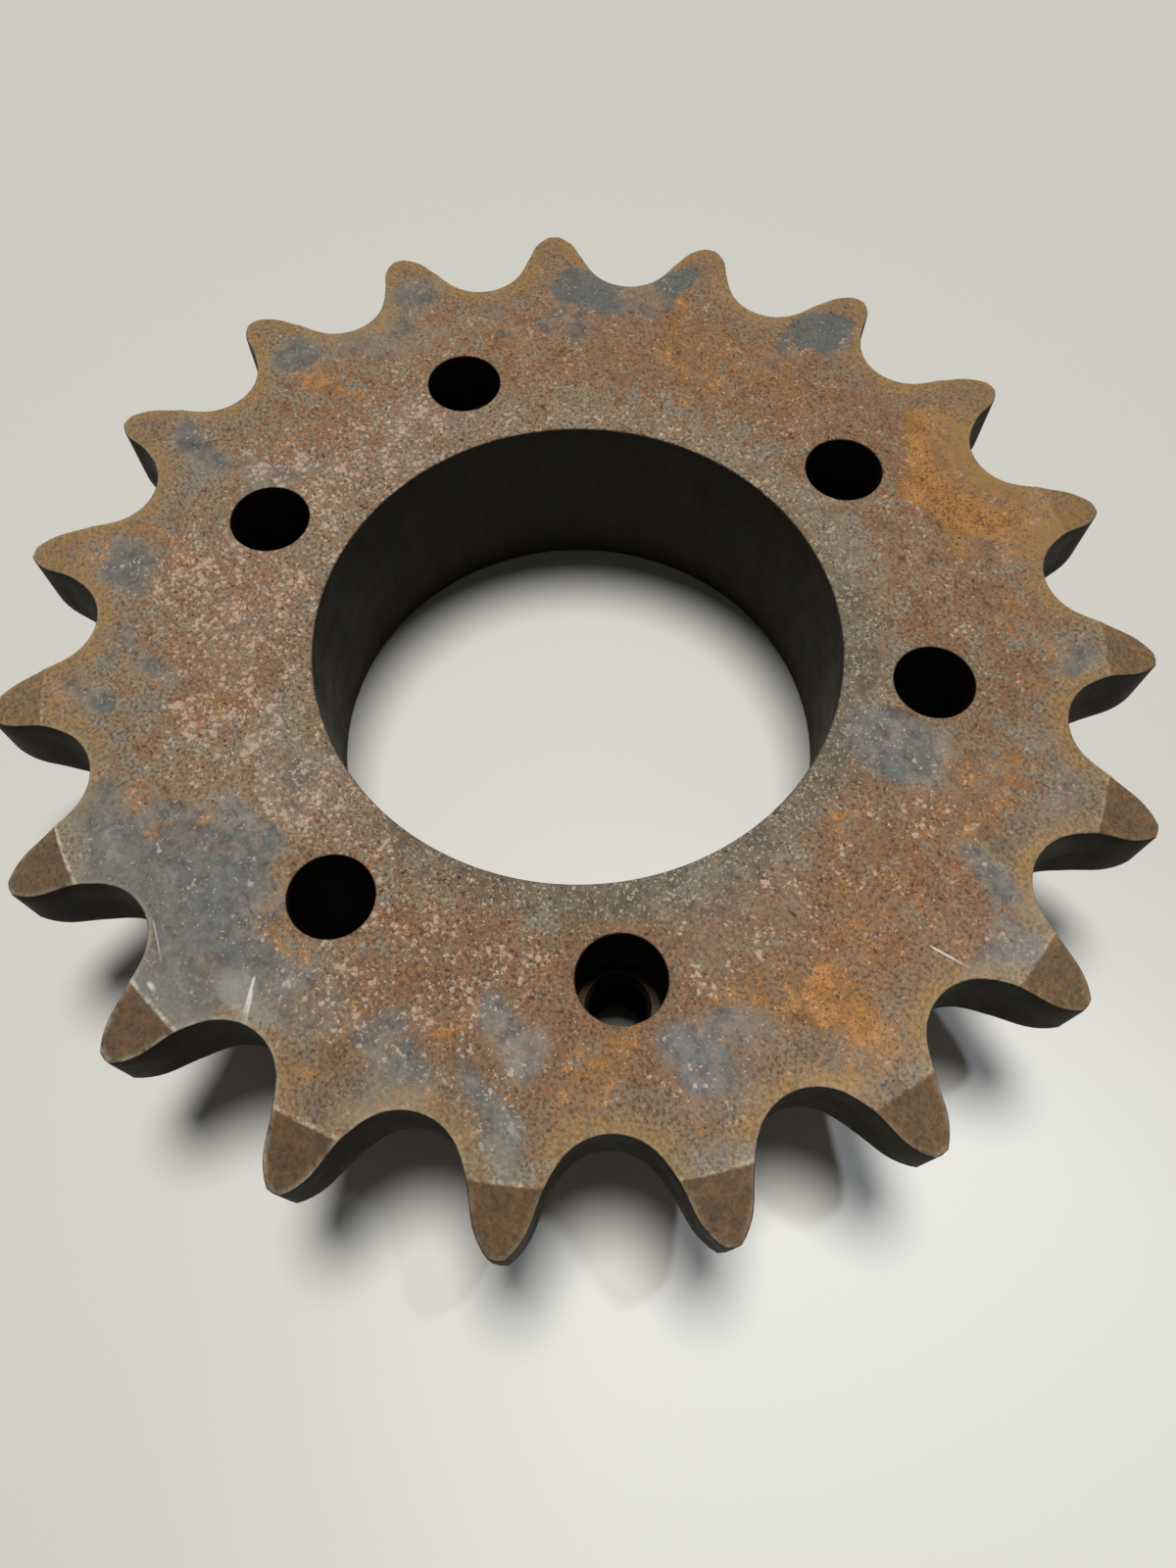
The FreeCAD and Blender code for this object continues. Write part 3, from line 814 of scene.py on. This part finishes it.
# The tool's feed was about 0.2 mm a turn; its marks are drawn 0.8 mm apart so that they show.
feed = .8
height = add_node(tree, "SeparateXYZ", {0: millimetres}, "Z")
marks = add_node(tree, "Math", {0: radius_from_axis(tree, millimetres), 1: height},
                 operation="SUBTRACT")
marks = add_node(tree, "Math", {0: marks, 1: 2 * np.pi / feed}, operation="MULTIPLY")
marks = add_node(tree, "Math", {0: marks}, operation="SINE")
grey = add_node(tree, "CombineColor", {"Red": marks, "Green": marks, "Blue": marks})
colour = add_node(tree, "Mix", {0: .12, 6: colour, 7: grey}, 2, data_type="RGBA",
                  blend_type="SOFT_LIGHT")
height = add_node(tree, "Math", {0: marks, 1: .10, 2: fine}, operation="MULTIPLY_ADD")
height = add_node(tree, "Math", {0: medium, 1: .6, 2: height}, operation="MULTIPLY_ADD")
join(tree, surface, {
    "Base Color": colour,
    "Roughness": add_node(tree, "MapRange", {"Value": medium, "From Min": .35, "From Max": .65,
                                             "To Min": .46, "To Max": .78}),
    "Normal": add_node(tree, "Bump", {"Height": height, "Strength": .45, "Distance": .0003})})
finish_by_value(hub, "cut", turned_steel, dark_oxide)

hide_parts("hub")
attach(hub, "root")


# ------------------------------------------------------------------ Weld bead
# One pass of arc weld that fills the groove on the hub's corner and joins the hub to the
# plate. The puddle froze in overlapping crescents, and the pass ends where it began.

bead_columns = 1440
bead_rays = np.arange(bead_columns) * 2 * np.pi / bead_columns
toe_on_plate = 2.5
toe_on_hub = 1.4
bead_bulge = 0.9
ripple_step = 2.4
ripple_depth = 0.16
stop_angle = 4.0                   # radians: where the pass ends over its own start
crown_out, crown_down = 0.927, 0.374   # the way the crown faces, as parts of a unit length


def weld_crown(rays, across):
    """Outer surface of the bead, row by row from the plate's toe to the hub's toe.

    Each section is a straight chord between the toes plus a parabola of the bulge. The
    ripples are a saw-like wave along the seam whose phase runs ahead in the middle of the
    bead, so each crest is a crescent. The toes and the bulge wander with slow waves.
    """
    along = rays * hub_radius
    wander = 0.22 * np.sin(5 * rays + 1) + 0.13 * np.sin(17 * rays) + 0.07 * np.sin(41 * rays + 2)
    stop = np.exp(-((rays - stop_angle) * hub_radius / 4.5) ** 2)
    plate_toe = hub_radius + toe_on_plate - 0.35 + wander
    hub_toe = plate_bottom - weld_groove - toe_on_hub + 0.3 - 0.7 * np.roll(wander, 90)
    middle = 1 - across[:, None] ** 2
    part = (across[:, None] + 1) / 2
    radius = plate_toe + (hub_radius - plate_toe) * part
    height = plate_bottom + (hub_toe - plate_bottom) * part
    phase = (along / ripple_step + 0.9 * middle + 0.12 * np.sin(9 * rays)) % 1
    ripple = np.minimum(phase / 0.75, (1 - phase) / 0.25)
    swell = (middle * (bead_bulge - 0.15 + 0.15 * np.sin(11 * rays) + 0.25 * stop)
             - ripple_depth * (1 - ripple) * middle ** 0.6)
    return (radius + crown_out * swell) * turn(rays), height - crown_down * swell


rows = np.sin(np.linspace(-np.pi / 2, np.pi / 2, 15))
crown, crown_z = weld_crown(bead_rays, rows)
behind = np.array([hub_radius, hub_radius - weld_groove])[:, None] * turn(bead_rays)
behind_z = np.repeat(np.array([plate_bottom - weld_groove, plate_bottom])[:, None], len(bead_rays), 1)
section = np.concatenate([crown, behind, crown[:1]])
section_z = np.concatenate([crown_z, behind_z, crown_z[:1]])
weld_bead = closed_piece("weld_bead", [with_values((raised(section, section_z), True, []))], [], 50)

# Weld metal as it froze, browned since: a silky dark skin with rust in the valleys.
browned_weld, tree, surface, millimetres = new_finish("browned_weld_metal")
large, medium, fine = (add_node(tree, "TexNoise", {"Vector": millimetres, "Scale": 1 / size,
                                                   "Detail": 6, "Roughness": .65}, "Fac")
                       for size in (9.0, 2.2, .7))
colour = masked(tree, linear("#46423d"), linear("#5a4634"), large)
for level, start, full, tone in (
        (medium, .50, .64, "#7b5635"), (fine, .56, .68, "#332b24"), (large, .58, .70, "#6a5a4b")):
    colour = laid_over(tree, colour, linear(tone), level, start, full, .8)
surface.inputs["Metallic"].default_value = 0.25
join(tree, surface, {
    "Base Color": colour,
    "Roughness": add_node(tree, "MapRange", {"Value": medium, "From Min": .35, "From Max": .65,
                                             "To Min": .38, "To Max": .7}),
    "Normal": add_node(tree, "Bump", {"Height": fine, "Strength": .35, "Distance": .0002})})
weld_bead.data.materials.append(browned_weld)

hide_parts("hub_weld")
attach(weld_bead, "root")


# ------------------------------------------------------------------ Floor, light and camera
# A plain pale floor under the hub, a wide lamp high above it like a soft sky, a small lamp that
# lights the floor beside the teeth, a pale surround, and a camera that looks down on the teeth.

floor_half = 3.0
floor_mesh = bpy.data.meshes.new("floor")
floor_mesh.from_pydata([(-floor_half, -floor_half, 0), (floor_half, -floor_half, 0),
                        (floor_half, floor_half, 0), (-floor_half, floor_half, 0)], [], [(0, 1, 2, 3)])
floor = bpy.data.objects.new("floor", floor_mesh)
bpy.context.scene.collection.objects.link(floor)
floor_paint = bpy.data.materials.new("pale_floor")
floor_paint.use_nodes = True
floor_paint.node_tree.nodes["Principled BSDF"].inputs["Base Color"].default_value = linear("#c9c8c3")
floor_mesh.materials.append(floor_paint)

# The room fills the shadows only a little, but looks as pale as the floor from every side.
world = bpy.data.worlds.new("surround")
bpy.context.scene.world = world
world.use_nodes = True
backdrop = world.node_tree.nodes["Background"]
backdrop.inputs["Color"].default_value = (1, 1, 1, 1)
seen = add_node(world.node_tree, "LightPath", output="Is Camera Ray")
seen = add_node(world.node_tree, "MapRange", {"Value": seen, "To Min": .08, "To Max": .62})
join(world.node_tree, backdrop, {"Strength": seen})


def aim(lamp, azimuth, elevation, distance, target):
    """Hang a lamp at an azimuth, elevation and distance from a target, facing the target."""
    azimuth, elevation = np.radians(azimuth), np.radians(elevation)
    line = Vector((np.cos(azimuth) * np.cos(elevation), np.sin(azimuth) * np.cos(elevation),
                   np.sin(elevation)))
    lamp.location = Vector(target) + line * distance
    lamp.rotation_euler = line.to_track_quat("Z", "Y").to_euler()
    bpy.context.scene.collection.objects.link(lamp)


overhead_data = bpy.data.lights.new("overhead_sky", "SUN")
overhead_data.angle = np.radians(20)
overhead_data.energy = 3.15
overhead_data.color = linear("#fffdf8")[:3]
aim(bpy.data.objects.new("overhead_sky", overhead_data),
    azimuth=143, elevation=77, distance=1.4, target=(0, 0, 0.02))
side_data = bpy.data.lights.new("side_lamp", "SPOT")
side_data.energy = 13
side_data.color = linear("#eaf3ff")[:3]
side_data.spot_size = np.radians(9)
side_data.spot_blend = 0.4
side_data.shadow_soft_size = 0.035
aim(bpy.data.objects.new("side_lamp", side_data),
    azimuth=87, elevation=69, distance=1.2, target=(0.137, -0.03, 0.0))

camera_data = bpy.data.cameras.new("camera")
camera_data.lens = 26.689
camera_data.clip_start = 0.01
camera = bpy.data.objects.new("camera", camera_data)
bpy.context.scene.collection.objects.link(camera)
right = Vector((0.59242, 0.80561, 0.00441))
up = Vector((-0.73130, 0.53546, 0.42247))
back = Vector((0.33798, -0.25350, 0.90637))
camera.matrix_world = (Matrix.Translation((0.09104, -0.06575, 0.21880))
                       @ Matrix((right, up, back)).transposed().to_4x4())
bpy.context.scene.camera = camera
bpy.context.scene.view_settings.view_transform = "Standard"
